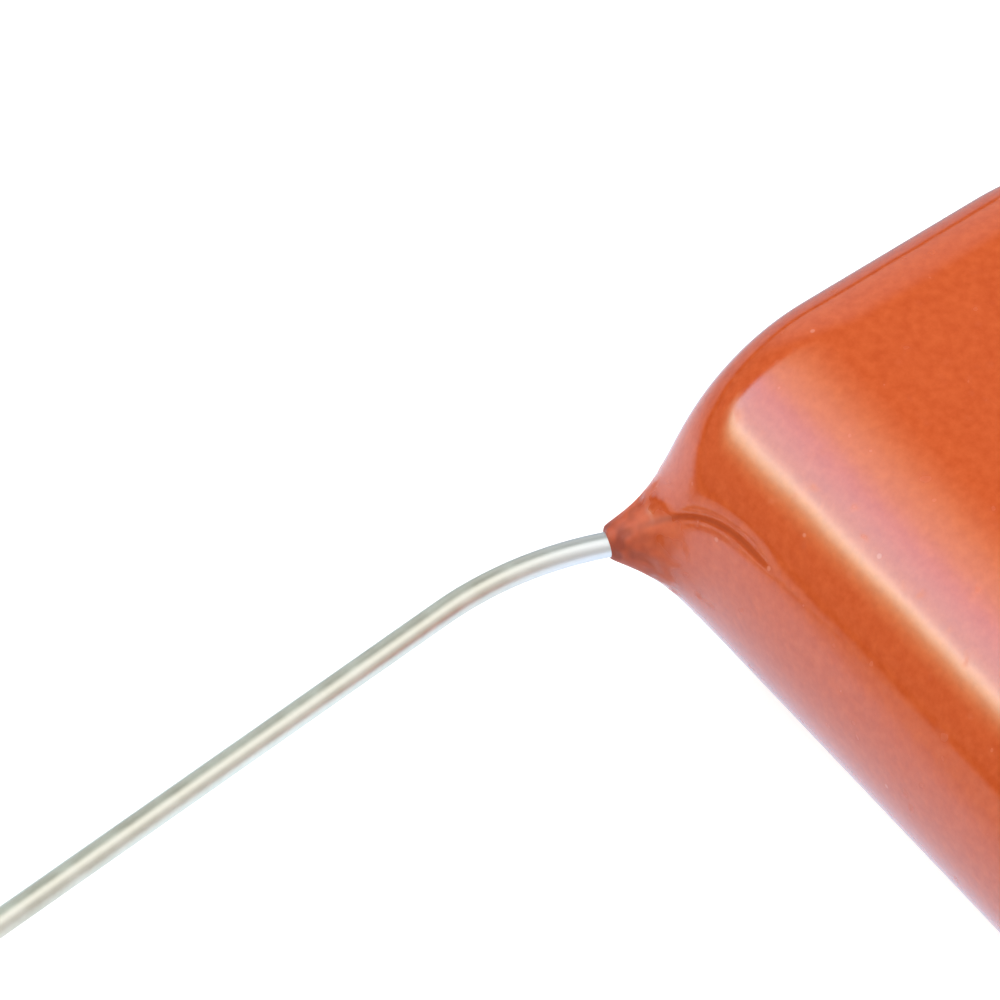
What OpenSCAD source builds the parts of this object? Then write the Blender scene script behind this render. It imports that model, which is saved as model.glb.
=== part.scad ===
// Polyester film capacitor with two radial wire leads, in the form known as dipped.
// A flattened roll of metallised film carries sprayed metal on both ends. A wire is soldered to
// each end, and the whole is dipped in epoxy, which draws out to a point round each wire.
// Frame: +X along the film width, from lead to lead. +Y from the leads to the top of the body.
// +Z through the thickness. The body lies on its large face at z = 0, centred on the origin.
// Lengths are in millimetres and angles in degrees.

/* [Winding] */
// Width of the wound film, between the sprayed ends
winding_w = 21.5; // [16:0.1:30]
// Height of the flattened roll
winding_h = 17.6; // [14:0.2:24]
// Thickness of the flattened roll
winding_t = 10.8; // [6:0.2:12]
// Thickness of the cover turns of plain film round the roll
wrap_t = 0.2; // [0.1:0.05:0.5]
// Thickness of the metal sprayed on each end of the roll
spray_t = 0.5; // [0.3:0.1:1]

/* [Leads] */
// Diameter of the wire
lead_d = 0.8; // [0.6:0.1:1]
// Angle at which each wire leaves the body, outwards
lead_splay = 30; // [10:1:36]
// Height of the straight wire soldered to the end of the roll
lead_root = 9.5; // [6:0.5:12]
// Radius of the bend inside the coat, at the wire's centre
root_bend_r = 1.5; // [1:0.1:2.4]
// Radius of the formed bend that turns the wire down, at the wire's centre
lead_bend_r = 11.8; // [9:0.1:16]
// Angle at which the straight end leans back inwards
lead_toe_in = 4.2; // [0:0.1:8]
// Length of the straight end
lead_run = 18; // [8:0.5:26]

/* [Solder] */
// Thickness of the solder between the sprayed end and the wire
solder_film = 0.1; // [0.05:0.05:0.3]
// Thickness of the solder over the wire
solder_cover = 0.35; // [0.2:0.05:0.6]
// Height of the solder mound
solder_h = 8; // [5:0.5:10]

/* [Coat] */
// Thickness of the epoxy on the faces and the round sides
coat_t = 1; // [0.6:0.1:2]
// Thickness of the epoxy over each sprayed end
end_coat_t = 3.1; // [2.6:0.1:4]
// Radius at which the coat turns onto each end
end_r = 3; // [2:0.1:3.4]
// Angle by which each end still leans back at its edge, where its low dome begins
end_lean = 12; // [6:1:20]
// Length of epoxy drawn out along each wire
meniscus_h = 1.7; // [0.8:0.1:2.4]
// Distance over which the drawn-out epoxy falls away
meniscus_reach = 0.8; // [0.4:0.05:1.2]
// How sharply it falls away: 1 is a plain exponential curve, and more is rounder at the rim
meniscus_curl = 1.15; // [1:0.05:1.5]
// Width of the rim of epoxy round the wire at the point
meniscus_rim = 0.1; // [0.05:0.05:0.2]

/* [Hidden] */

LEFT = -1;
RIGHT = 1;
$fn = 64;

// Sections across the film, from the inside out. Each is two half circles joined by flats, and
// all of them share the same flats.
flat_half = (winding_h - winding_t) / 2;
winding_r = winding_t / 2;
wrap_r = winding_r + wrap_t;
body_r = wrap_r + coat_t;

// Places along the film
spray_x = winding_w / 2 + spray_t;
body_half = spray_x + end_coat_t;

// Each end is an arc that turns from the sides by turn_angle, and a low dome that carries on
// from the arc's edge without a crease
turn_angle = 90 - end_lean;
edge_r = body_r - end_r * (1 - cos(turn_angle));
dome_r = edge_r / sin(end_lean);
edge_x = body_half - dome_r * (1 - cos(end_lean));
turn_x = edge_x - end_r * sin(turn_angle);

// The wire's centre line, from its root on the sprayed end to the bend inside the coat
lead_r = lead_d / 2;
root_x = spray_x + solder_film + lead_r;
root_bend_dx = root_bend_r * (1 - cos(lead_splay));
root_bend_dy = root_bend_r * sin(lead_splay);

// The solder mound is half a round bar that lies on the sprayed end and covers the wire
solder_r = root_x + lead_r + solder_cover - spray_x;

// The wire leaves the body at one point of each bottom corner, where the end turn has begun.
// It is straight over exit_root on both sides of that point, and its formed bend starts inside
// the epoxy that is drawn out along it.
exit_root = 0.3;
exit_x = root_x + root_bend_dx + exit_root * sin(lead_splay);
exit_turn = exit_x > turn_x ? asin((exit_x - turn_x) / end_r) : 0;
exit_y = -flat_half - body_r + end_r * (1 - cos(exit_turn));
root_y = exit_y + exit_root * cos(lead_splay) + root_bend_dy;

// Lap and step where a bend of the wire joins its straight lengths
bend_lap = 0.03;
bend_step = 0.002;

// The coat's grid is laid out on the unrolled surface: "along" runs with X and over the end
// turns by arc length, and "round" runs round the section from the bottom line of the body.
along_end = turn_x + end_r * turn_angle * PI / 180;
along_exit = exit_x > turn_x ? turn_x + end_r * exit_turn * PI / 180 : exit_x;
round_quarter = PI * body_r / 2;
round_flat = 2 * flat_half;
round_half = 2 * round_quarter + round_flat;

rim_r = lead_r + meniscus_rim;
// Half width of the patch round each wire in which the grid's squares turn into circles
patch = min(1.9, 0.8 * (along_end - along_exit), 0.8 * round_quarter);
rim_lines = 2;
patch_lines = 6;
patch_growth = 1.25;
middle_lines = 10;
turn_lines = 3;
side_lines = 5;
flat_lines = 3;
top_lines = 10;
dome_rings = [0.8, 0.6, 0.4, 0.2];

function smooth(t) = let (c = min(max(t, 0), 1)) c * c * (3 - 2 * c);
function steps(from, to, n) = [for (k = [1:n]) from + (to - from) * k / n];
function mirrored(list) = [for (k = [len(list) - 1:-1:0]) -list[k]];

// Distances of the grid's lines from a wire: even inside the rim, then wider and wider
patch_steps = concat(
    steps(0, rim_r, rim_lines),
    [
        for (k = [1:patch_lines])
            rim_r + (patch - rim_r) * (pow(patch_growth, k) - 1) / (pow(patch_growth, patch_lines) - 1)
    ]
);

along_right = concat(
    steps(0, along_exit - patch, middle_lines / 2),
    [for (k = [len(patch_steps) - 2:-1:0]) along_exit - patch_steps[k]],
    [along_exit],
    [for (d = patch_steps) along_exit + d],
    steps(along_exit + patch, along_end, turn_lines)
);
along = concat(mirrored(along_right), [0], along_right);

round_right = concat(
    patch_steps,
    steps(patch, round_quarter, side_lines),
    steps(round_quarter, round_quarter + round_flat, flat_lines),
    steps(round_quarter + round_flat, round_half, top_lines)
);
round_left = mirrored(round_right);
around = concat([for (k = [1:len(round_left) - 1]) round_left[k]], [0], round_right);

// The grid's squares round a wire become circles, so that the rim is round
function warped(point, side) =
    let (
        from_wire = point - [side * along_exit, 0],
        square = max(abs(from_wire.x), abs(from_wire.y)),
        circle = norm(from_wire)
    )
    square == 0 || square >= patch ? point :
    let (
        blend = smooth((square - rim_r) / (patch - rim_r)),
        shrink = square / circle * (1 - blend) + blend
    )
    [side * along_exit, 0] + from_wire * shrink;

// Direction across the section at a distance round it, as [y, z], and the centre of its arc
function turned(distance) =
    let (d = abs(distance))
    d <= round_quarter ? d / body_r * 180 / PI :
    d <= round_quarter + round_flat ? 90 :
    90 + (d - round_quarter - round_flat) / body_r * 180 / PI;
function arc_centre(distance) =
    min(max(abs(distance) - round_quarter, 0), round_flat) - flat_half;

// A point of the plain dipped body, before the epoxy is drawn out along the wires
function section_point(x, r, distance) =
    let (angle = turned(distance), up = distance < 0 ? -1 : 1)
    [x, arc_centre(distance) - r * cos(angle), body_r + up * r * sin(angle)];
function body_point(point) =
    let (
        over = max(abs(point.x) - turn_x, 0) / end_r * 180 / PI,
        x = min(abs(point.x), turn_x) + end_r * sin(over),
        r = body_r - end_r * (1 - cos(over))
    )
    section_point((point.x < 0 ? -1 : 1) * x, r, point.y);

// The epoxy clings to the wire: it is drawn out along the wire by a length that falls away
// with distance from the rim
function exit_point(side) = [side * exit_x, exit_y, body_r];
function exit_axis(side) = [side * sin(lead_splay), -cos(lead_splay), 0];
function drawn_out(p, side) =
    let (from_rim = max(norm(p - exit_point(side)) - rim_r, 0))
    exit_axis(side) * meniscus_h * exp(-pow(from_rim / meniscus_reach, meniscus_curl));
function coat_point(p) = p + drawn_out(p, LEFT) + drawn_out(p, RIGHT);

// One ring of the dome on an end, at a share of the way out to the dome's edge
function dome_ring(side, share) =
    let (r = edge_r * share, x = body_half - dome_r + sqrt(dome_r * dome_r - r * r))
    [for (d = around) section_point(side * x, r, d)];

// The coat's outside: rings round the section, from one end of the body to the other
module coat_outside() {
    rings = concat(
        [for (k = [len(dome_rings) - 1:-1:0]) dome_ring(LEFT, dome_rings[k])],
        [for (u = along) [for (v = around) body_point(warped(warped([u, v], LEFT), RIGHT))]],
        [for (share = dome_rings) dome_ring(RIGHT, share)]
    );
    n = len(around);
    last = len(rings) - 1;
    sides = [
        for (i = [0:last - 1], j = [0:n - 1])
            let (a = i * n + j, b = i * n + (j + 1) % n, c = b + n, d = a + n)
            each [[a, b, c], [a, c, d]]
    ];
    ends = [[for (j = [n - 1:-1:0]) j], [for (j = [0:n - 1]) last * n + j]];
    polyhedron([for (ring = rings) each [for (p = ring) coat_point(p)]], concat(sides, ends));
}

// A flattened roll of half thickness r that reaches from x = from to x = to
module flat_roll(r, from, to) {
    translate([from, 0, body_r])
        rotate([90, 0, 90])
            linear_extrude(to - from) {
                for (y = [-flat_half, flat_half])
                    translate([y, 0])
                        circle(r);
                square([2 * flat_half, 2 * r], center = true);
            }
}

module straight_wire(length) {
    rotate([-90, 0, 0])
        cylinder(h = length, r = lead_r);
}

// A bend of the wire about the Z axis, from [bend_r, 0], and the straight wire that follows it.
// The bend laps over the straight wire at both ends, and is thicker by bend_step.
module bend_and_straight(bend_r, angle, length) {
    lap = bend_lap / bend_r * 180 / PI;
    rotate([0, 0, -lap])
        rotate_extrude(angle = angle + 2 * lap)
            translate([bend_r, 0])
                circle(lead_r + bend_step);
    rotate([0, 0, angle])
        translate([bend_r, 0, 0])
            straight_wire(length);
}

// The whole wire on the right side: the way out of the body, then the bend inside the coat with
// the root on the sprayed end, and the formed bend outwards with the straight end
module wire() {
    translate([exit_x, exit_y, body_r])
        rotate([0, 0, lead_splay]) {
            translate([0, -exit_root, 0])
                straight_wire(2 * exit_root);
            translate([root_bend_r, exit_root, 0])
                mirror([1, 0, 0])
                    bend_and_straight(root_bend_r, lead_splay, lead_root);
            translate([-lead_bend_r, -exit_root, 0])
                mirror([0, 1, 0])
                    bend_and_straight(lead_bend_r, lead_splay + lead_toe_in, lead_run);
        }
}

// The solder mound on the right side, with its flat side on the sprayed end
module solder_mound() {
    mound_y = root_y + lead_root - solder_h / 2 + solder_cover;
    intersection() {
        translate([spray_x, mound_y, body_r])
            rotate([90, 0, 0])
                rotate_extrude()
                    intersection() {
                        union() {
                            for (y = [-1, 1])
                                translate([0, y * (solder_h / 2 - solder_r)])
                                    circle(solder_r);
                            square([2 * solder_r, solder_h - 2 * solder_r], center = true);
                        }
                        translate([0, -solder_h / 2])
                            square([solder_r, solder_h]);
                    }
        translate([spray_x, mound_y - solder_h / 2, body_r - solder_r])
            cube([solder_r, solder_h, 2 * solder_r]);
    }
}

module on_side(side) {
    mirror([side == LEFT ? 1 : 0, 0, 0])
        children();
}

module epoxy_coat() {
    color("#de6f48")
        difference() {
            coat_outside();
            flat_roll(wrap_r, -winding_w / 2, winding_w / 2);
            for (side = [LEFT, RIGHT])
                on_side(side) {
                    flat_roll(winding_r, 0, spray_x);
                    solder_mound();
                    wire();
                }
        }
}

module cover_wrap() {
    color("#e8e2c8")
        difference() {
            flat_roll(wrap_r, -winding_w / 2, winding_w / 2);
            flat_roll(winding_r, -winding_w / 2 - 1, winding_w / 2 + 1);
        }
}

module film_winding() {
    color("#b9bcc0")
        flat_roll(winding_r, -winding_w / 2, winding_w / 2);
}

module end_spray(side) {
    color("#8d8f8c")
        on_side(side)
            flat_roll(winding_r, winding_w / 2, spray_x);
}

module solder(side) {
    color("#a9adb0")
        on_side(side)
            difference() {
                solder_mound();
                wire();
            }
}

module lead(side) {
    color("#d8d6cc")
        on_side(side)
            wire();
}

epoxy_coat();
cover_wrap();
film_winding();
end_spray(LEFT);  // end_spray_left
end_spray(RIGHT);  // end_spray_right
solder(LEFT);  // solder_left
solder(RIGHT);  // solder_right
lead(LEFT);  // lead_left
lead(RIGHT);  // lead_right
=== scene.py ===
import bmesh
import bpy
import numpy as np
from mathutils import Matrix, Vector


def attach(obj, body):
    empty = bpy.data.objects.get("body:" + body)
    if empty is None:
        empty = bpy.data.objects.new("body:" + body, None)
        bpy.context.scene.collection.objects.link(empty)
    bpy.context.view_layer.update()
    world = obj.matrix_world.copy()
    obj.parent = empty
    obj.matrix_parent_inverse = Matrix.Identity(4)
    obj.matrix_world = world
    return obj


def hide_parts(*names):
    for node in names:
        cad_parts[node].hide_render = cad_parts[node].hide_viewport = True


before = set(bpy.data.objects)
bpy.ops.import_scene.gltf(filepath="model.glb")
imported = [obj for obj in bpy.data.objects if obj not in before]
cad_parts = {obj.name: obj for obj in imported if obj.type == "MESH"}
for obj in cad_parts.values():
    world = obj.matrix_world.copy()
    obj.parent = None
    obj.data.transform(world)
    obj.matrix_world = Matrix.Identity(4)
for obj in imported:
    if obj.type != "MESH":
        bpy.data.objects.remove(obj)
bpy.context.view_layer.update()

# ---------------------------------------------------------------------------------------------
# Winding. Two strips of polyester film, each metallised on one face, are wound on an arbor into
# a round roll, which is then pressed flat. The film's metal is a few hundredths of a micrometre
# of zinc and aluminium, so the roll looks like grey satin foil under a clear skin.
# ---------------------------------------------------------------------------------------------

FILM_BANDS_SCALE = 200.0  # a band every 1.6 mm; the real turns, 0.01 mm apart, are too fine


def linear(hex_colour):
    """The RGBA that a shader takes for an sRGB hex colour. Each channel c becomes c / 12.92 up
    to 0.04045, and ((c + 0.055) / 1.055) to the power 2.4 above it."""
    c = np.array([int(hex_colour[k : k + 2], 16) for k in (1, 3, 5)]) / 255
    return (*np.where(c <= 0.04045, c / 12.92, ((c + 0.055) / 1.055) ** 2.4).tolist(), 1.0)


def add(tree, kind, inputs=None, **settings):
    """Adds a node of a kind to a tree. Each setting goes on the node, and each input gets a
    value or, where it is another node's socket, a link."""
    node = tree.nodes.new(kind)
    for name, value in settings.items():
        setattr(node, name, value)
    for name, value in (inputs or {}).items():
        if isinstance(value, bpy.types.NodeSocket):
            tree.links.new(value, node.inputs[name])
        else:
            node.inputs[name].default_value = value
    return node


def new_material(name):
    """An empty material with its output node, and the Object coordinates of what wears it."""
    made = bpy.data.materials.new(name)
    made.use_nodes = True
    made.node_tree.nodes.clear()
    output = add(made.node_tree, "ShaderNodeOutputMaterial")
    place = add(made.node_tree, "ShaderNodeTexCoord").outputs["Object"]
    return made, made.node_tree, output, place


def finish_node(node, made):
    """The solid called node keeps its shape and wears the material."""
    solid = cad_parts[node]
    solid.data.materials.clear()
    solid.data.materials.append(made)


# Metallised film, pressed flat: a satin metal with faint bands where the turns lie on each
# other, and a slow unevenness in its tone where the press has creased the film.
film, tree, output, place = new_material("metallised film, satin")
turns = add(tree, "ShaderNodeTexWave", {
    "Vector": place, "Scale": FILM_BANDS_SCALE, "Distortion": 1.2, "Detail": 2.0,
}, bands_direction="Z")
crease = add(tree, "ShaderNodeTexNoise", {"Vector": place, "Scale": 180.0, "Detail": 3.0})
mixed = add(tree, "ShaderNodeMath", {0: turns.outputs["Fac"], 1: crease.outputs["Fac"]},
            operation="MULTIPLY")
tone = add(tree, "ShaderNodeValToRGB", {"Fac": mixed.outputs[0]})
tone.color_ramp.elements[0].color = linear("#9a9da2")
tone.color_ramp.elements[1].color = linear("#c6c9cc")
relief = add(tree, "ShaderNodeBump", {
    "Height": mixed.outputs[0], "Strength": 0.3, "Distance": 0.00002})
skin = add(tree, "ShaderNodeBsdfPrincipled", {
    "Base Color": tone.outputs["Color"], "Metallic": 0.85, "Roughness": 0.38,
    "Normal": relief.outputs["Normal"]})
tree.links.new(skin.outputs["BSDF"], output.inputs["Surface"])
finish_node("film_winding", film)

# ---------------------------------------------------------------------------------------------
# Cover turns. The last turns of the roll are plain polyester film, heat-sealed to hold the roll
# shut. Plain film has no metal on it, and its turns together look pale yellow and glossy.
# ---------------------------------------------------------------------------------------------

cover, tree, output, place = new_material("polyester film, heat-sealed")
drawn = add(tree, "ShaderNodeTexNoise", {
    "Vector": add(tree, "ShaderNodeMapping", {
        "Vector": place, "Scale": (60.0, 900.0, 900.0)}).outputs["Vector"],
    "Scale": 1.0, "Detail": 4.0})
tone = add(tree, "ShaderNodeValToRGB", {"Fac": drawn.outputs["Fac"]})
tone.color_ramp.elements[0].color = linear("#d9d2b4")
tone.color_ramp.elements[1].color = linear("#efe9d2")
relief = add(tree, "ShaderNodeBump", {
    "Height": drawn.outputs["Fac"], "Strength": 0.2, "Distance": 0.00003})
skin = add(tree, "ShaderNodeBsdfPrincipled", {
    "Base Color": tone.outputs["Color"], "Roughness": 0.22, "IOR": 1.6,
    "Normal": relief.outputs["Normal"]})
tree.links.new(skin.outputs["BSDF"], output.inputs["Surface"])
finish_node("cover_wrap", cover)

# ---------------------------------------------------------------------------------------------
# Sprayed ends. Molten zinc is arc-sprayed on both ends of the roll, where it grips the edges of
# the film and joins all the turns. It freezes as fine splashes, so it is dull, grey and rough.
# ---------------------------------------------------------------------------------------------

SPLASH_MM = 0.12
SPLASH_FLOOR = 0.2  # tone and height of the lowest places between splashes

spray, tree, output, place = new_material("zinc, arc-sprayed")
splashes = add(tree, "ShaderNodeTexVoronoi", {"Vector": place, "Scale": 1000 / SPLASH_MM})
clouds = add(tree, "ShaderNodeTexNoise", {"Vector": place, "Scale": 700.0, "Detail": 5.0})
mixed = add(tree, "ShaderNodeMath", {
    0: splashes.outputs["Distance"], 1: clouds.outputs["Fac"], 2: SPLASH_FLOOR},
    operation="MULTIPLY_ADD")
tone = add(tree, "ShaderNodeValToRGB", {"Fac": mixed.outputs[0]})
tone.color_ramp.elements[0].color = linear("#6f706d")
tone.color_ramp.elements[1].color = linear("#a3a5a2")
relief = add(tree, "ShaderNodeBump", {
    "Height": mixed.outputs[0], "Strength": 0.7, "Distance": 0.00005})
skin = add(tree, "ShaderNodeBsdfPrincipled", {
    "Base Color": tone.outputs["Color"], "Metallic": 1.0, "Roughness": 0.62,
    "Normal": relief.outputs["Normal"]})
tree.links.new(skin.outputs["BSDF"], output.inputs["Surface"])
for node in ("end_spray_left", "end_spray_right"):
    finish_node(node, spray)

# ---------------------------------------------------------------------------------------------
# Leads. Each is copper-clad steel wire with a hot-dipped tin skin, bent outwards in the coat and
# back to the lead pitch outside it, and cut to length by a shear. Drawing leaves fine lines
# along the wire, and the shear leaves a slightly rolled edge with the steel and copper bare.
# ---------------------------------------------------------------------------------------------

MM = 0.001
SIDES = {"left": -1, "right": 1}

WIRE_R = 0.4
SPLAY = np.radians(30)  # how far each wire leans outwards as it leaves the coat
TOE_IN = np.radians(4.2)  # how far its straight end leans back inwards
ROOT_X = 11.75
ROOT_LENGTH = 9.5
ROOT_BEND_R = 1.5
EXIT_ROOT = 0.3  # straight wire on each side of the place where it leaves the coat
FORMED_BEND_R = 11.8
RUN_LENGTH = 18.0

# The coat's round side, which says where the wires come through it
BODY_R = 6.6  # half the thickness of the coated body, and the height of the wires
BODY_HALF = 14.35  # half its width
FLAT_HALF = 3.4  # half the height of its flat faces
END_R = 3.0  # radius at which its sides turn onto each end
END_TURN = np.radians(78)  # how far that turn goes before the low dome begins
EDGE_R = BODY_R - END_R * (1 - np.cos(END_TURN))
DOME_R = EDGE_R / np.cos(END_TURN)
TURN_X = BODY_HALF - DOME_R * (1 - np.sin(END_TURN)) - END_R * np.sin(END_TURN)

EXIT_X = ROOT_X + ROOT_BEND_R * (1 - np.cos(SPLAY)) + EXIT_ROOT * np.sin(SPLAY)
EXIT_TURN = np.arcsin((EXIT_X - TURN_X) / END_R)
EXIT_Y = -FLAT_HALF - BODY_R + END_R * (1 - np.cos(EXIT_TURN))
ROOT_TOP_Y = EXIT_Y + EXIT_ROOT * np.cos(SPLAY) + ROOT_BEND_R * np.sin(SPLAY) + ROOT_LENGTH

WIRE_RINGS = 420
WIRE_SIDES = 40
LINE_STEPS = 40000  # steps of the running sum along a wire
CUT_ROUND = 0.12  # how far from each end the wire's edge is rounded
CUT_R_SHARE = 0.86  # radius of the flat left in the middle of each end, as a share of the wire's
SHEAR_LEAN = 0.14  # how far the sheared end leans, as rise over run
SHEAR_REACH = 0.8  # how far up the wire the shear has pushed it


def wire_line(s):
    """The wire's centre line in the XY plane and its heading at distances s from its root.
    The heading, outwards from straight down, is 0 on the root, grows evenly to the splay over
    the first bend, and falls evenly to the toe-in over the formed one. The line is the running
    sum of (sin heading, -cos heading)."""
    bounds = np.cumsum([
        ROOT_LENGTH, ROOT_BEND_R * SPLAY, 2 * EXIT_ROOT, FORMED_BEND_R * (SPLAY + TOE_IN)])
    headings = [0, SPLAY, SPLAY, -TOE_IN]
    fine = np.linspace(0, s[-1], LINE_STEPS + 1)
    turn = np.interp(fine, bounds, headings)
    middle = (turn[1:] + turn[:-1]) / 2
    x = ROOT_X + np.concatenate([[0], np.cumsum(np.sin(middle) * fine[1])])
    y = ROOT_TOP_Y - np.concatenate([[0], np.cumsum(np.cos(middle) * fine[1])])
    return np.interp(s, fine, x), np.interp(s, fine, y), np.interp(s, bounds, headings)


def grid_piece(name, rings, uv=None):
    """A closed skin over rings[i, j] of points in millimetres: ring i joins ring i + 1 by four-
    sided faces, the last point of a ring joins its first, and one face closes each end. uv[i, j]
    is in metres, evenly spaced round a ring, and the face that joins a ring's last point to its
    first has its far side one step past the last point, so that no pattern runs back over it."""
    count, around = rings.shape[:2]
    i, j = np.meshgrid(np.arange(count - 1), np.arange(around), indexing="ij")
    a, b = i * around + j, i * around + (j + 1) % around
    faces = np.stack([a, b, b + around, a + around], -1).reshape(-1, 4).tolist()
    faces.append(list(range(around))[::-1])
    faces.append(list(range((count - 1) * around, count * around)))
    mesh = bpy.data.meshes.new(name)
    mesh.from_pydata((rings.reshape(-1, 3) * MM).tolist(), [], faces)
    if uv is not None:
        corner = np.zeros(len(mesh.loops), int)
        mesh.loops.foreach_get("vertex_index", corner)
        quad_corners = np.arange((count - 1) * around * 4)
        closing = (quad_corners // 4) % around == around - 1
        far_side = np.isin(quad_corners % 4, (1, 2))
        full_turn = uv[0, -1, 1] + uv[0, 1, 1] - 2 * uv[0, 0, 1]
        values = uv.reshape(-1, 2)[corner]
        values[quad_corners[closing & far_side], 1] += full_turn
        layer = mesh.uv_layers.new(name="along_and_round")
        layer.data.foreach_set("uv", values.astype(np.float32).ravel())
    work = bmesh.new()
    work.from_mesh(mesh)
    bmesh.ops.recalc_face_normals(work, faces=work.faces)
    work.to_mesh(mesh)
    work.free()
    mesh.shade_smooth()
    piece = bpy.data.objects.new(name, mesh)
    bpy.context.scene.collection.objects.link(piece)
    return piece


def wire_rings(side):
    """Rings of the wire, and each point's distances along and round it. A circle of the wire's
    radius stands square to the centre line. Near each end it closes in a quarter turn to a
    share of the radius, and the sheared end is pushed along the line by the lean times the
    distance outwards in the ring."""
    length = (ROOT_LENGTH + ROOT_BEND_R * SPLAY + 2 * EXIT_ROOT
              + FORMED_BEND_R * (SPLAY + TOE_IN) + RUN_LENGTH)
    closing = np.array([0, 0.02, 0.06, CUT_ROUND])
    s = np.concatenate([
        closing, np.linspace(0.2, length - 0.2, WIRE_RINGS), length - closing[::-1]])
    x, y, heading = wire_line(s)
    from_end = np.minimum(s, length - s)
    share = np.clip(1 - from_end / CUT_ROUND, 0, 1)
    radius = WIRE_R * (CUT_R_SHARE + (1 - CUT_R_SHARE) * np.sqrt(1 - share**2))
    turn = np.linspace(0, 2 * np.pi, WIRE_SIDES, endpoint=False)
    outwards = radius[:, None] * np.cos(turn)
    up = radius[:, None] * np.sin(turn)
    push = SHEAR_LEAN * outwards * np.clip(1 - (length - s) / SHEAR_REACH, 0, 1)[:, None]
    cos, sin = np.cos(heading)[:, None], np.sin(heading)[:, None]
    points = np.stack([
        side * (x[:, None] + outwards * cos + push * sin),
        y[:, None] + outwards * sin - push * cos,
        BODY_R + up,
    ], -1)
    along, around = np.meshgrid(s, turn * WIRE_R, indexing="ij")
    return points, np.stack([along, around], -1) * MM


DRAW_LINE_MM = 0.06
TIN_PATCH_MM = 0.9
GLINT_PAINTED_TO, OWN_TONE_FROM = 0.012, 0.017  # distances along the wire, in metres from its root, where the painted highlight ends and the tin's own tone is full

# Hot-dipped tin on drawn wire: a warm, pale satin metal with fine lines along it, and patches
# a millimetre long where the tin froze a little smoother or duller. Beside the coat it is painted
# paler and cooler, a painted highlight, and along the rest it keeps its warmer tone.
tin, tree, output, place = new_material("tin, hot-dipped on drawn wire")
track = add(tree, "ShaderNodeUVMap", uv_map="along_and_round").outputs["UV"]
lines = add(tree, "ShaderNodeTexNoise", {
    "Vector": add(tree, "ShaderNodeMapping", {
        "Vector": track, "Scale": (150.0, 1000 / DRAW_LINE_MM, 1.0)}).outputs["Vector"],
    "Scale": 1.0, "Detail": 2.0}, noise_dimensions="2D")
patches = add(tree, "ShaderNodeTexNoise", {
    "Vector": place, "Scale": 1000 / TIN_PATCH_MM, "Detail": 3.0})
tone = add(tree, "ShaderNodeValToRGB", {"Fac": patches.outputs["Fac"]})
tone.color_ramp.elements[0].position = 0.3
tone.color_ramp.elements[0].color = linear("#dad7c8")
tone.color_ramp.elements[1].position = 0.7
tone.color_ramp.elements[1].color = linear("#eae8dc")
from_coat = add(tree, "ShaderNodeMapRange", {
    "Value": add(tree, "ShaderNodeSeparateXYZ", {"Vector": track}).outputs["X"],
    "From Min": GLINT_PAINTED_TO, "From Max": OWN_TONE_FROM}, interpolation_type="SMOOTHSTEP")
# Beside the coat the tin is painted paler and cooler: a painted highlight.
tin_tone_and_glint = add(tree, "ShaderNodeMix", {
    "Factor": from_coat.outputs["Result"], "A": linear("#e6e9e9"), "B": tone.outputs["Color"]},
    data_type="RGBA")
dullness = add(tree, "ShaderNodeMapRange", {
    "Value": patches.outputs["Fac"], "From Min": 0.3, "From Max": 0.7,
    "To Min": 0.38, "To Max": 0.48})
relief = add(tree, "ShaderNodeBump", {
    "Height": lines.outputs["Fac"], "Strength": 0.15, "Distance": 0.00001})
skin = add(tree, "ShaderNodeBsdfPrincipled", {
    "Base Color": tin_tone_and_glint.outputs["Result"], "Metallic": 1.0,
    "Roughness": dullness.outputs["Result"], "Normal": relief.outputs["Normal"]})
tree.links.new(skin.outputs["BSDF"], output.inputs["Surface"])

# Sheared end: bare steel in the middle and a thin ring of copper, smeared by the shear.
sheared, tree, output, place = new_material("copper-clad steel, sheared")
smear = add(tree, "ShaderNodeTexNoise", {
    "Vector": add(tree, "ShaderNodeMapping", {
        "Vector": place, "Scale": (2500.0, 2500.0, 14000.0)}).outputs["Vector"],
    "Scale": 1.0, "Detail": 3.0})
tone = add(tree, "ShaderNodeValToRGB", {"Fac": smear.outputs["Fac"]})
tone.color_ramp.elements[0].position = 0.42
tone.color_ramp.elements[0].color = linear("#b98a6a")
tone.color_ramp.elements[1].position = 0.56
tone.color_ramp.elements[1].color = linear("#aeb0b2")
relief = add(tree, "ShaderNodeBump", {
    "Height": smear.outputs["Fac"], "Strength": 0.5, "Distance": 0.00002})
skin = add(tree, "ShaderNodeBsdfPrincipled", {
    "Base Color": tone.outputs["Color"], "Metallic": 1.0, "Roughness": 0.35,
    "Normal": relief.outputs["Normal"]})
tree.links.new(skin.outputs["BSDF"], output.inputs["Surface"])

for word, side in SIDES.items():
    points, uv = wire_rings(side)
    wire = grid_piece(f"wire_{word}", points, uv)
    wire.data.materials.append(tin)
    wire.data.materials.append(sheared)
    wire.data.polygons[-1].material_index = 1
    wire.data.polygons[-2].material_index = 1
    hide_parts(f"lead_{word}")
    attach(wire, "root")

# ---------------------------------------------------------------------------------------------
# Solder. A mound of tin solder joins each wire to the sprayed end. It is laid on by hand or
# machine before the dip, and freezes bright, with a soft, slightly frosted skin.
# ---------------------------------------------------------------------------------------------

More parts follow.
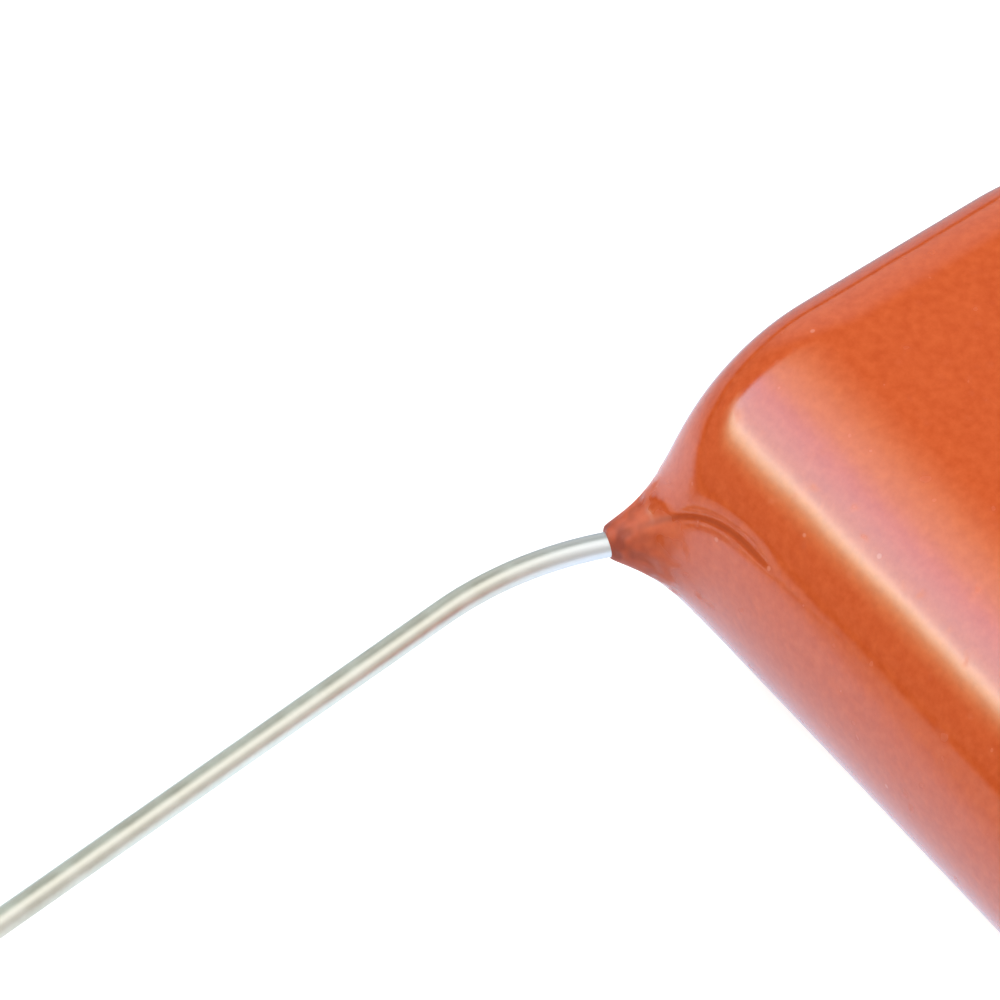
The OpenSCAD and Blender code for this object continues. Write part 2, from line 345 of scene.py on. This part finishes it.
solder, tree, output, place = new_material("tin solder, frozen bright")
frost = add(tree, "ShaderNodeTexNoise", {"Vector": place, "Scale": 2200.0, "Detail": 4.0})
tone = add(tree, "ShaderNodeValToRGB", {"Fac": frost.outputs["Fac"]})
tone.color_ramp.elements[0].color = linear("#a5a8aa")
tone.color_ramp.elements[1].color = linear("#cfd1d2")
dullness = add(tree, "ShaderNodeMapRange", {
    "Value": frost.outputs["Fac"], "To Min": 0.28, "To Max": 0.42})
relief = add(tree, "ShaderNodeBump", {
    "Height": frost.outputs["Fac"], "Strength": 0.4, "Distance": 0.00004})
skin = add(tree, "ShaderNodeBsdfPrincipled", {
    "Base Color": tone.outputs["Color"], "Metallic": 1.0,
    "Roughness": dullness.outputs["Result"], "Normal": relief.outputs["Normal"]})
tree.links.new(skin.outputs["BSDF"], output.inputs["Surface"])
for node in ("solder_left", "solder_right"):
    finish_node(node, solder)

# ---------------------------------------------------------------------------------------------
# Epoxy coat. The soldered winding hangs by its wires and is dipped in liquid epoxy, which pulls
# itself smooth and sets glossy in an oven, filled with orange pigment. The last of it runs down
# to the wires, leaves a shallow groove round the run, and draws out to a point along each wire.
# ---------------------------------------------------------------------------------------------

EXIT_ALONG = TURN_X + END_R * EXIT_TURN  # the wires' place along the unrolled body
MENISCUS_H = 1.7  # length of epoxy drawn out along each wire
MENISCUS_REACH = 0.8
MENISCUS_CURL = 1.15
RIM_R = 0.5
RIM_STEP = 0.09
RIM_ROUND = 0.06  # width over which the rim's edge is rounded
PATCH = 1.9  # half width of the part of the grid that is bent round into circles
PATCH_LINES = 22
PATCH_WIDENING = 1.6  # how fast the patch's lines grow apart
DOME_LINES = 16
GROOVE_DEEP = 0.05
GROOVE_INNER, GROOVE_OUTER = 0.34, 0.6  # widths of its steep inner and shallow outer side
GROOVE_LAP = 0.8  # share of the inner side after which the outer side starts
GROOVE_FROM, GROOVE_GROWS = 7.0, 1.6  # where the groove starts, and the length it grows over
GROOVE_END, GROOVE_FADES = 0.8, 0.7  # where it ends before a wire, and the length it fades over
RUN_FROM, RUN_TO = 8.6, 12.0  # where the run's rounded end starts and stops, from the middle
RUN_HALF = 3.05  # how far round the body the run reaches from the bottom line
FINE_FROM, FINE_UP_TO = 6.6, 4.1  # the groove's part of the grid, along the body and round it


def spaced(start, end, step):
    """Evenly spaced places after start up to end, no further apart than step."""
    return np.linspace(start, end, int(np.ceil((end - start) / step)) + 1)[1:]


def round_a_wire():
    """Distances of grid lines from a wire: evenly spaced in the rim, then growing apart up to
    the patch's edge, as (exp(widening * share) - 1) / (exp(widening) - 1)."""
    share = np.linspace(0, 1, PATCH_LINES + 1)[1:]
    grown = (np.exp(PATCH_WIDENING * share) - 1) / (np.exp(PATCH_WIDENING) - 1)
    return np.concatenate([spaced(0, RIM_R, RIM_STEP), RIM_R + (PATCH - RIM_R) * grown])


def smooth_step(t):
    """3 t^2 - 2 t^3, with t held between 0 and 1."""
    t = np.clip(t, 0, 1)
    return t * t * (3 - 2 * t)


def section(x, r, distance):
    """A point of the section at x: two half circles of radius r joined by flats. distance runs
    round it on the full section, from the bottom line: over a quarter turn, the flat, and the
    second quarter turn. A quarter turn is at the angle distance / BODY_R."""
    quarter, flat = np.pi * BODY_R / 2, 2 * FLAT_HALF
    d = np.abs(distance)
    angle = np.minimum(d, quarter) / BODY_R + np.maximum(d - quarter - flat, 0) / BODY_R
    centre = np.clip(d - quarter, 0, flat) - FLAT_HALF
    return np.stack(np.broadcast_arrays(
        x, centre - r * np.cos(angle), BODY_R + np.sign(distance) * r * np.sin(angle)), -1)


def groove(u, v):
    """How far the skin dips at u along and v round the unrolled body, and how near each point
    is to the middle of the groove's inner side, where it is 1. The groove follows the edge of
    the run, a long shape whose end is half an ellipse. Its depth rises by a smooth step over
    the inner side and falls by (1 - t)^2 over the outer side. It fades towards the middle of
    the body and just before a wire."""
    beyond = np.maximum(np.abs(u) - RUN_FROM, 0) / (RUN_TO - RUN_FROM)
    outside = RUN_HALF * (np.hypot(beyond, v / RUN_HALF) - 1) + GROOVE_INNER / 2
    to_wire = np.hypot(np.abs(u) - EXIT_ALONG, v)
    shown = smooth_step((np.abs(u) - GROOVE_FROM) / GROOVE_GROWS)
    shown = shown * smooth_step((to_wire - GROOVE_END) / GROOVE_FADES)
    inner = smooth_step(outside / GROOVE_INNER)
    outer = np.clip((outside - GROOVE_LAP * GROOVE_INNER) / GROOVE_OUTER, 0, 1)
    return GROOVE_DEEP * shown * inner * (1 - outer) ** 2, 4 * shown * inner * (1 - inner)


def coat_rings():
    """Rings of the coat, with each point's nearness to a wire and to the groove. Grid lines run
    along the unrolled body and round it. Near each wire, squares of the grid shrink onto
    circles. The sides bend through END_TURN at END_R onto each end, which is a low dome. Last,
    each point moves along each wire by MENISCUS_H * nearness, where the nearness is
    exp(-(distance from the rim / reach) ^ curl)."""
    quarter, flat = np.pi * BODY_R / 2, 2 * FLAT_HALF
    end = TURN_X + END_R * END_TURN
    near = round_a_wire()
    right = np.concatenate([
        spaced(0, FINE_FROM, 0.5), spaced(FINE_FROM, EXIT_ALONG - PATCH, 0.12),
        EXIT_ALONG - near[-2::-1], [EXIT_ALONG], EXIT_ALONG + near,
        spaced(EXIT_ALONG + PATCH, end, 0.13)])
    along = np.concatenate([-right[::-1], [0], right])
    up = np.concatenate([
        near, spaced(PATCH, FINE_UP_TO, 0.06), spaced(FINE_UP_TO, quarter, 0.3),
        spaced(quarter, quarter + flat, 0.5),
        spaced(quarter + flat, 2 * quarter + flat, 0.4)])
    around = np.concatenate([-up[-2::-1], [0], up])
    u, v = np.meshgrid(along, around, indexing="ij")
    for side in (-1, 1):
        across = u - side * EXIT_ALONG
        square = np.maximum(np.abs(across), np.abs(v))
        circle = np.maximum(np.hypot(across, v), 1e-9)
        blend = smooth_step((square - RIM_R) / (PATCH - RIM_R))
        shrink = np.where(square < PATCH, square / circle * (1 - blend) + blend, 1)
        u, v = side * EXIT_ALONG + across * shrink, v * shrink
    over = np.maximum(np.abs(u) - TURN_X, 0) / END_R
    x = np.sign(u) * (np.minimum(np.abs(u), TURN_X) + END_R * np.sin(over))
    dip, line = groove(u, v)
    body = section(x, BODY_R - END_R * (1 - np.cos(over)) - dip, v)
    share = np.cos(np.linspace(0, np.pi / 2, DOME_LINES))[1:-1, None]
    r = EDGE_R * share
    dome = section(BODY_HALF - DOME_R + np.sqrt(DOME_R**2 - r**2), r, around)
    rings = np.concatenate([dome[::-1] * (-1, 1, 1), body, dome])
    thin = np.zeros(rings.shape[:2])
    for side in (-1, 1):
        away = np.linalg.norm(rings - (side * EXIT_X, EXIT_Y, BODY_R), axis=-1) - RIM_R
        away = (away + np.sqrt(away**2 + RIM_ROUND**2)) / 2
        drawn = np.exp(-((away / MENISCUS_REACH) ** MENISCUS_CURL))
        axis = np.array([side * np.sin(SPLAY), -np.cos(SPLAY), 0])
        rings = rings + axis * MENISCUS_H * drawn[..., None]
        thin = np.maximum(thin, drawn)
    groove_shade_mask = np.zeros(rings.shape[:2])
    groove_shade_mask[len(dome) : -len(dome)] = line
    return rings, thin, groove_shade_mask


rings, thin, groove_shade_mask = coat_rings()
coat = grid_piece("dipped_coat", rings)
for name, values in (("near_wire", thin), ("groove_shade_mask", groove_shade_mask)):
    layer = coat.data.attributes.new(name, "FLOAT", "POINT")
    layer.data.foreach_set("value", values.astype(np.float32).ravel())

PEEL_MM = 1.6  # size of the faint orange peel
MOTTLE_MM = 0.16
CLOT_MM = 0.3  # size of the clots in the thin end by each wire
CLOT_SHARE = 0.9  # how much the clots add to the nearness to a wire, which dulls the gloss
DENT_MM = 0.2  # how deep the clots look there
BUBBLE_APART_MM = 1.3
# how far painted shade darkens the colour in the groove
GROOVE_PAINTED_SHADE = 0.75

# Pigmented epoxy, cured glossy: a saturated orange under a clear smooth surface. Filler gives
# it a fine mottle. Small pale round flecks are painted highlights of small bubbles under the skin,
# and the groove is painted darker, a painted shade. Where it is drawn out thin it looks redder,
# with dull and glossy clots, and darker, which is partly painted shade.
epoxy, tree, output, place = new_material("epoxy, dipped and oven-cured")
mottle = add(tree, "ShaderNodeTexNoise", {
    "Vector": place, "Scale": 1000 / MOTTLE_MM / 2, "Detail": 3.0, "Roughness": 0.6})
tone = add(tree, "ShaderNodeValToRGB", {"Fac": mottle.outputs["Fac"]})
tone.color_ramp.elements[0].position = 0.3
tone.color_ramp.elements[0].color = linear("#cf5524")
tone.color_ramp.elements[1].position = 0.72
tone.color_ramp.elements[1].color = linear("#dd6431")
wire_near = add(tree, "ShaderNodeAttribute", attribute_name="near_wire")
redder = add(tree, "ShaderNodeMapRange", {
    "Value": wire_near.outputs["Fac"], "From Min": 0.1, "From Max": 0.8,
    "To Min": 0.0, "To Max": 0.8})
# By each wire the thin epoxy turns redder, and darker in clots; the redness is its own, and part
# of the darkness is painted shade.
clots = add(tree, "ShaderNodeTexNoise", {
    "Vector": place, "Scale": 1000 / CLOT_MM / 2, "Detail": 1.0})
thin_tone_and_shade = add(tree, "ShaderNodeValToRGB", {"Fac": clots.outputs["Fac"]})
thin_tone_and_shade.color_ramp.elements[0].position = 0.42
thin_tone_and_shade.color_ramp.elements[0].color = linear("#8a2c12")
thin_tone_and_shade.color_ramp.elements[1].position = 0.6
thin_tone_and_shade.color_ramp.elements[1].color = linear("#b84a26")
body_colour = add(tree, "ShaderNodeMix", {
    "Factor": redder.outputs["Result"], "A": tone.outputs["Color"],
    "B": thin_tone_and_shade.outputs["Color"]}, data_type="RGBA")
# Small pale round flecks: painted highlights of small bubbles under the skin.
bubbles = add(tree, "ShaderNodeTexVoronoi", {
    "Vector": place, "Scale": 1000 / BUBBLE_APART_MM})
painted_bubble_glint = add(tree, "ShaderNodeMapRange", {
    "Value": bubbles.outputs["Distance"], "From Min": 0.04, "From Max": 0.08,
    "To Min": 0.55, "To Max": 0.0}, interpolation_type="SMOOTHSTEP")
# The groove is painted darker by mixing in a deeper tone: painted shade.
groove_near = add(tree, "ShaderNodeAttribute", attribute_name="groove_shade_mask")
groove_shade_share = add(tree, "ShaderNodeMath", {0: groove_near.outputs["Fac"], 1: GROOVE_PAINTED_SHADE},
                   operation="MULTIPLY")
groove_shaded = add(tree, "ShaderNodeMix", {
    "Factor": groove_shade_share.outputs[0], "A": body_colour.outputs["Result"],
    "B": linear("#a8431f")}, data_type="RGBA")
with_painted_glints = add(tree, "ShaderNodeMix", {
    "Factor": painted_bubble_glint.outputs["Result"], "A": groove_shaded.outputs["Result"],
    "B": linear("#f09a80")}, data_type="RGBA")
uneven = add(tree, "ShaderNodeMath", {
    0: clots.outputs["Fac"], 1: CLOT_SHARE, 2: wire_near.outputs["Fac"]},
    operation="MULTIPLY_ADD")
dullness = add(tree, "ShaderNodeMapRange", {
    "Value": uneven.outputs[0], "From Min": 0.58, "From Max": 0.85,
    "To Min": 0.11, "To Max": 0.58})
peel = add(tree, "ShaderNodeTexNoise", {"Vector": place, "Scale": 1000 / PEEL_MM, "Detail": 1.0})
dents = add(tree, "ShaderNodeMath", {0: clots.outputs["Fac"], 1: redder.outputs["Result"]},
            operation="MULTIPLY")
dented = add(tree, "ShaderNodeBump", {
    "Height": dents.outputs[0], "Strength": 1.0, "Distance": DENT_MM * MM})
relief = add(tree, "ShaderNodeBump", {
    "Height": peel.outputs["Fac"], "Strength": 0.12, "Distance": 0.0001,
    "Normal": dented.outputs["Normal"]})
skin = add(tree, "ShaderNodeBsdfPrincipled", {
    "Base Color": with_painted_glints.outputs["Result"], "Roughness": dullness.outputs["Result"],
    "IOR": 1.62, "Normal": relief.outputs["Normal"]})
tree.links.new(skin.outputs["BSDF"], output.inputs["Surface"])
coat.data.materials.append(epoxy)
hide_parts("epoxy_coat")
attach(coat, "root")

# ---------------------------------------------------------------------------------------------
# Table. The part lies on a white card, which eyes see evenly white. Gloss sees a painted pool
# of light on it in front of the round side, painted shade behind the part, and the card painted
# dark further off.
# ---------------------------------------------------------------------------------------------

TABLE_HALF = 0.6
TABLE_GAP = 0.00002  # keeps the card's face from lying in the coat's resting face
POOL_ACROSS = (0.58, -0.81, 0.0)  # the painted pool of light is a long band; this way lies across it
POOL_RISES_FROM, POOL_FULL_FROM = -0.022, -0.003
POOL_FLOOR = 0.35  # painted shade: the pool's level behind the part, as a share of the full one
POOL_BRIGHT_TO, POOL_DARK_FROM = 0.013, 0.025
POOL_LEVEL = 0.8
CARD_FROM, CARD_TO = 0.07, 0.145  # where gloss stops seeing the card lit and sees it painted dark instead
CARD_GLOW = 0.7  # added for eyes alone, so that the card looks white and keeps its shadow

bpy.ops.mesh.primitive_plane_add(size=2 * TABLE_HALF, location=(0, 0, -TABLE_GAP))
table = bpy.context.object
table.name = "table"
card, tree, output, place = new_material("white card")
path = add(tree, "ShaderNodeLightPath")
aside = add(tree, "ShaderNodeVectorMath", {0: place, 1: POOL_ACROSS}, operation="DOT_PRODUCT")
near_edge = add(tree, "ShaderNodeMapRange", {
    "Value": aside.outputs["Value"], "From Min": POOL_RISES_FROM, "From Max": POOL_FULL_FROM,
    "To Min": POOL_FLOOR, "To Max": 1.0}, interpolation_type="SMOOTHSTEP")
lit = add(tree, "ShaderNodeMapRange", {
    "Value": aside.outputs["Value"], "From Min": POOL_BRIGHT_TO, "From Max": POOL_DARK_FROM,
    "To Min": POOL_LEVEL, "To Max": 0.0}, interpolation_type="SMOOTHSTEP")
distance = add(tree, "ShaderNodeVectorMath", {0: place}, operation="LENGTH")
seen_near = add(tree, "ShaderNodeMapRange", {
    "Value": distance.outputs["Value"], "From Min": CARD_FROM, "From Max": CARD_TO,
    "To Min": 1.0, "To Max": 0.0}, interpolation_type="SMOOTHSTEP")
held = add(tree, "ShaderNodeMath", {
    0: seen_near.outputs["Result"], 1: near_edge.outputs["Result"]}, operation="MULTIPLY")
glow_there = add(tree, "ShaderNodeMath", {0: held.outputs[0], 1: lit.outputs["Result"]},
                 operation="MULTIPLY")
in_gloss = add(tree, "ShaderNodeMath", {
    0: path.outputs["Is Glossy Ray"], 1: glow_there.outputs[0]}, operation="MULTIPLY")
lost = add(tree, "ShaderNodeMath", {0: 1.0, 1: held.outputs[0]}, operation="SUBTRACT")
dark = add(tree, "ShaderNodeMath", {0: path.outputs["Is Glossy Ray"], 1: lost.outputs[0]},
           operation="MULTIPLY")
# For gloss, the card is painted dark behind the part and far off: painted shade.
paper_and_painted_dark = add(tree, "ShaderNodeMix", {
    "Factor": dark.outputs[0], "A": linear("#e4e4e4"), "B": linear("#101010")},
    data_type="RGBA")
paper = add(tree, "ShaderNodeBsdfDiffuse", {"Color": paper_and_painted_dark.outputs["Result"]})
to_eye = add(tree, "ShaderNodeEmission", {
    "Color": linear("#ffffff"), "Strength": add(tree, "ShaderNodeMath", {
        0: path.outputs["Is Camera Ray"], 1: CARD_GLOW}, operation="MULTIPLY").outputs[0]})
# A painted pool of light, which only gloss sees.
painted_pool_in_gloss = add(tree, "ShaderNodeEmission", {
    "Color": linear("#b0daff"), "Strength": in_gloss.outputs[0]})
glow = add(tree, "ShaderNodeAddShader", {
    0: to_eye.outputs["Emission"], 1: painted_pool_in_gloss.outputs["Emission"]})
both = add(tree, "ShaderNodeAddShader", {0: paper.outputs["BSDF"], 1: glow.outputs["Shader"]})
tree.links.new(both.outputs["Shader"], output.inputs["Surface"])
table.data.materials.append(card)

# ---------------------------------------------------------------------------------------------
# Light. A tall window with a bright sill stands in front of the round side, and only gloss and
# metal see it. A soft lamp that gloss doesn't see lights the colours, with a broad ceiling lamp
# and a small glint. The room is dim, with a brighter side and a pale wall behind the left end.
# ---------------------------------------------------------------------------------------------


def lamp(name, place, aim, size, watts, colour):
    """A flat rectangular lamp at place that faces aim, both in metres. size is its width and
    height. Its local X lies level."""
    light = bpy.data.lights.new(name, "AREA")
    light.shape = "RECTANGLE"
    light.size, light.size_y = size
    light.energy = watts
    light.color = linear(colour)[:3]
    stand = bpy.data.objects.new(name, light)
    back = (Vector(place) - Vector(aim)).normalized()
    level = Vector((0, 0, 1)).cross(back).normalized()
    turn = Matrix((level, back.cross(level), back)).transposed().to_4x4()
    stand.matrix_world = Matrix.Translation(place) @ turn
    bpy.context.scene.collection.objects.link(stand)
    return stand


WINDOW_LEAN = -0.483  # X of the unit direction from the crown to the window


def direction(angle):
    """A unit direction whose X is the window's lean, at an angle in degrees above -Y in the YZ
    plane."""
    rest = (1 - WINDOW_LEAN**2) ** 0.5
    return Vector((
        WINDOW_LEAN, -rest * np.cos(np.radians(angle)), rest * np.sin(np.radians(angle))))


CROWN = Vector((0.0, -0.008, 0.010))  # a place just inside the round side, which the window faces
WINDOW_FAR = 0.6
WINDOW_LOW, WINDOW_HIGH = 15.0, 101.0  # the angles above -Y between which the window stands
WINDOW_REACH = (-1.2, -0.16)  # where it starts and ends in X
WINDOW_LEVEL = 9.0  # its brightest level, where 1 looks as bright as white
SILL_SLOPE, SILL_LIFT = 0.5, 0.12  # line, in the window's own X and Y, that turns up its left end
SILL_ROUNDING = 0.2
SILL_FADES = (0.22, 0.4)  # heights between which the upturned sill fades
SILL_GROWS = (0.3, 0.7)  # where along it the sill grows from its dim end to its full level
SILL_DIM = 0.3
SKY_SLOPE = -0.2  # how far the start of the sky leans with height
SKY_GROWS = (0.2, 0.42)  # where along the window the sky starts and is full
# The bright sill and the pale sky above it, by the angle above -Y
SILL_TONES = [
    (15, "#000000"), (21, "#485438"), (26, "#6c9070"), (30, "#b8e0c4"), (33.3, "#e4fff0"),
    (37, "#8cb0b0"), (41, "#000000"),
]
SKY_TONES = [
    (32, "#000000"), (39, "#7cb4c4"), (44, "#7cb4ca"), (56, "#6c98b6"), (68, "#7a8c8a"),
    (82, "#6c7060"), (92, "#404438"), (101, "#000000"),
]

middle = (WINDOW_LOW + WINDOW_HIGH) / 2
half = np.radians(WINDOW_HIGH - WINDOW_LOW) / 2
upright = 2 * WINDOW_FAR * (1 - WINDOW_LEAN**2) ** 0.5 * np.tan(half)
across = WINDOW_REACH[1] - WINDOW_REACH[0]
opening = CROWN + direction(middle) * WINDOW_FAR
opening.x = sum(WINDOW_REACH) / 2
window = lamp("window", opening, Vector((opening.x, CROWN.y, CROWN.z)), (across, upright),
              np.pi * across * upright, "#ffffff")
window.data.use_nodes = True
tree = window.data.node_tree
tree.nodes.clear()
output = add(tree, "ShaderNodeOutputLight")
spot = add(tree, "ShaderNodeSeparateXYZ", {
    "Vector": add(tree, "ShaderNodeNewGeometry").outputs["Parametric"]})


def window_share(angle):
    """The share of the window's height at an angle in degrees above -Y: the tangent of the
    angle from its middle, counted in halves of the window."""
    return 0.5 + np.tan(np.radians(angle - middle)) / np.tan(half) / 2


def tone_ramp(tree, share, tones):
    """A colour ramp over a share of the window's height, with a stop at each angle."""
    ramp = add(tree, "ShaderNodeValToRGB", {"Fac": share})
    stops = ramp.color_ramp.elements
    stops.remove(stops[1])
    for angle, tone in tones:
        stops.new(window_share(angle)).color = linear(tone)
    stops.remove(stops[0])
    return ramp.outputs["Color"]


# The sill turns up round the window's left end and fades as it rises, and the sky starts
# further in the higher it is, so the end of the window is round.
inwards = add(tree, "ShaderNodeMath", {0: spot.outputs["X"], 1: SILL_SLOPE, 2: SILL_LIFT},
              operation="MULTIPLY_ADD")
rounded = add(tree, "ShaderNodeMath", {
    0: spot.outputs["Y"], 1: inwards.outputs[0], 2: SILL_ROUNDING}, operation="SMOOTH_MIN")
rising = add(tree, "ShaderNodeMapRange", {
    "Value": spot.outputs["Y"], "From Min": SILL_FADES[0], "From Max": SILL_FADES[1],
    "To Min": 1.0, "To Max": 0.0}, interpolation_type="SMOOTHSTEP")
leaning = add(tree, "ShaderNodeMath", {
    0: spot.outputs["Y"], 1: SKY_SLOPE, 2: spot.outputs["X"]}, operation="MULTIPLY_ADD")
sky_share = add(tree, "ShaderNodeMapRange", {
    "Value": leaning.outputs[0], "From Min": SKY_GROWS[0], "From Max": SKY_GROWS[1]},
    interpolation_type="SMOOTHSTEP")
sill_level = add(tree, "ShaderNodeMapRange", {
    "Value": spot.outputs["X"], "From Min": SILL_GROWS[0], "From Max": SILL_GROWS[1],
    "To Min": SILL_DIM * WINDOW_LEVEL, "To Max": WINDOW_LEVEL}, interpolation_type="SMOOTHSTEP")
sill_strength = add(tree, "ShaderNodeMath", {
    0: rising.outputs["Result"], 1: sill_level.outputs["Result"]}, operation="MULTIPLY")
sill = add(tree, "ShaderNodeEmission", {
    "Color": tone_ramp(tree, rounded.outputs[0], SILL_TONES),
    "Strength": sill_strength.outputs[0]})
sky_strength = add(tree, "ShaderNodeMath", {0: sky_share.outputs["Result"], 1: WINDOW_LEVEL},
                   operation="MULTIPLY")
sky = add(tree, "ShaderNodeEmission", {
    "Color": tone_ramp(tree, spot.outputs["Y"], SKY_TONES),
    "Strength": sky_strength.outputs[0]})
glass = add(tree, "ShaderNodeAddShader", {0: sill.outputs["Emission"], 1: sky.outputs["Emission"]})
tree.links.new(glass.outputs["Shader"], output.inputs["Surface"])
window.visible_diffuse = False

lamp("glint", place=(0.34, -0.26, 0.56), aim=(0, 0, 0), size=(0.2, 0.2), watts=0.35,
     colour="#ffffff")
lamp("ceiling", place=(0.12, 0.2, 0.7), aim=(0, 0, 0), size=(0.6, 0.8), watts=1.2,
     colour="#ffffff")
fill = lamp("fill", place=(-0.33, -0.28, 0.56), aim=(0, 0, 0), size=(0.35, 0.35), watts=2.65,
            colour="#ffffff")
fill.visible_glossy = False

BRIGHT_SIDE = (0.80, 0.27, 0.53)  # the way to the bright side of the room
FAR_SIDE = (-0.80, 0.55, 0.24)  # the way to a pale wall behind the left end
# Each side's way, the cosines from it at which its light starts and is full, and its level
SIDES_OF_ROOM = [(BRIGHT_SIDE, 0.15, 0.7, 0.55), (FAR_SIDE, 0.8, 0.95, 0.55)]
ROOM_LEVEL = 0.15

room = bpy.data.worlds.new("room")
bpy.context.scene.world = room
room.use_nodes = True
tree = room.node_tree
tree.nodes.clear()
output = add(tree, "ShaderNodeOutputWorld")
way = add(tree, "ShaderNodeTexCoord").outputs["Generated"]
light_of = []
for side, start, full, level in SIDES_OF_ROOM:
    turned = add(tree, "ShaderNodeVectorMath", {0: way, 1: side}, operation="DOT_PRODUCT")
    light_of.append(add(tree, "ShaderNodeMapRange", {
        "Value": turned.outputs["Value"], "From Min": start, "From Max": full, "To Max": level},
        interpolation_type="SMOOTHSTEP").outputs["Result"])
walls = add(tree, "ShaderNodeMath", {0: light_of[0], 1: light_of[1]}, operation="ADD")
room_light = add(tree, "ShaderNodeMath", {0: walls.outputs[0], 1: ROOM_LEVEL}, operation="ADD")
path = add(tree, "ShaderNodeLightPath")
dim = add(tree, "ShaderNodeBackground", {
    "Color": linear("#ffffff"), "Strength": room_light.outputs[0]})
white = add(tree, "ShaderNodeBackground", {"Color": linear("#ffffff"), "Strength": 1.0})
shown = add(tree, "ShaderNodeMixShader", {
    "Fac": path.outputs["Is Camera Ray"], 1: dim.outputs["Background"],
    2: white.outputs["Background"]})
tree.links.new(shown.outputs["Shader"], output.inputs["Surface"])
bpy.context.scene.view_settings.view_transform = "Standard"

# ---------------------------------------------------------------------------------------------
# Camera. It looks down on the left wire's corner from the right and in front, close up, so that
# the wire runs off to the lower left and the body fills the right edge.
# ---------------------------------------------------------------------------------------------

AZIMUTH = np.radians(53.09)
ELEVATION = np.radians(52.85)
CAMERA_FAR = 0.25
SENSOR_MM = 36
LENS_MM = 297
NEAREST = 0.01
POINT_OF_COAT = Vector((
    -EXIT_X - MENISCUS_H * np.sin(SPLAY), EXIT_Y - MENISCUS_H * np.cos(SPLAY), BODY_R)) * MM
AIM_LEFT, AIM_UP = 3.189 * MM, 1.295 * MM  # from the point of the coat to the middle of the view

back = Vector((np.sin(AZIMUTH) * np.cos(ELEVATION), -np.cos(AZIMUTH) * np.cos(ELEVATION),
               np.sin(ELEVATION)))
right = Vector((np.cos(AZIMUTH), np.sin(AZIMUTH), 0))
up = back.cross(right)
aim = POINT_OF_COAT - right * AIM_LEFT + up * AIM_UP
view = bpy.data.cameras.new("camera")
view.sensor_width = SENSOR_MM
view.lens = LENS_MM
view.clip_start = NEAREST
camera = bpy.data.objects.new("camera", view)
turn = Matrix((right, up, back)).transposed().to_4x4()
camera.matrix_world = Matrix.Translation(aim + back * CAMERA_FAR) @ turn
bpy.context.scene.collection.objects.link(camera)
bpy.context.scene.camera = camera
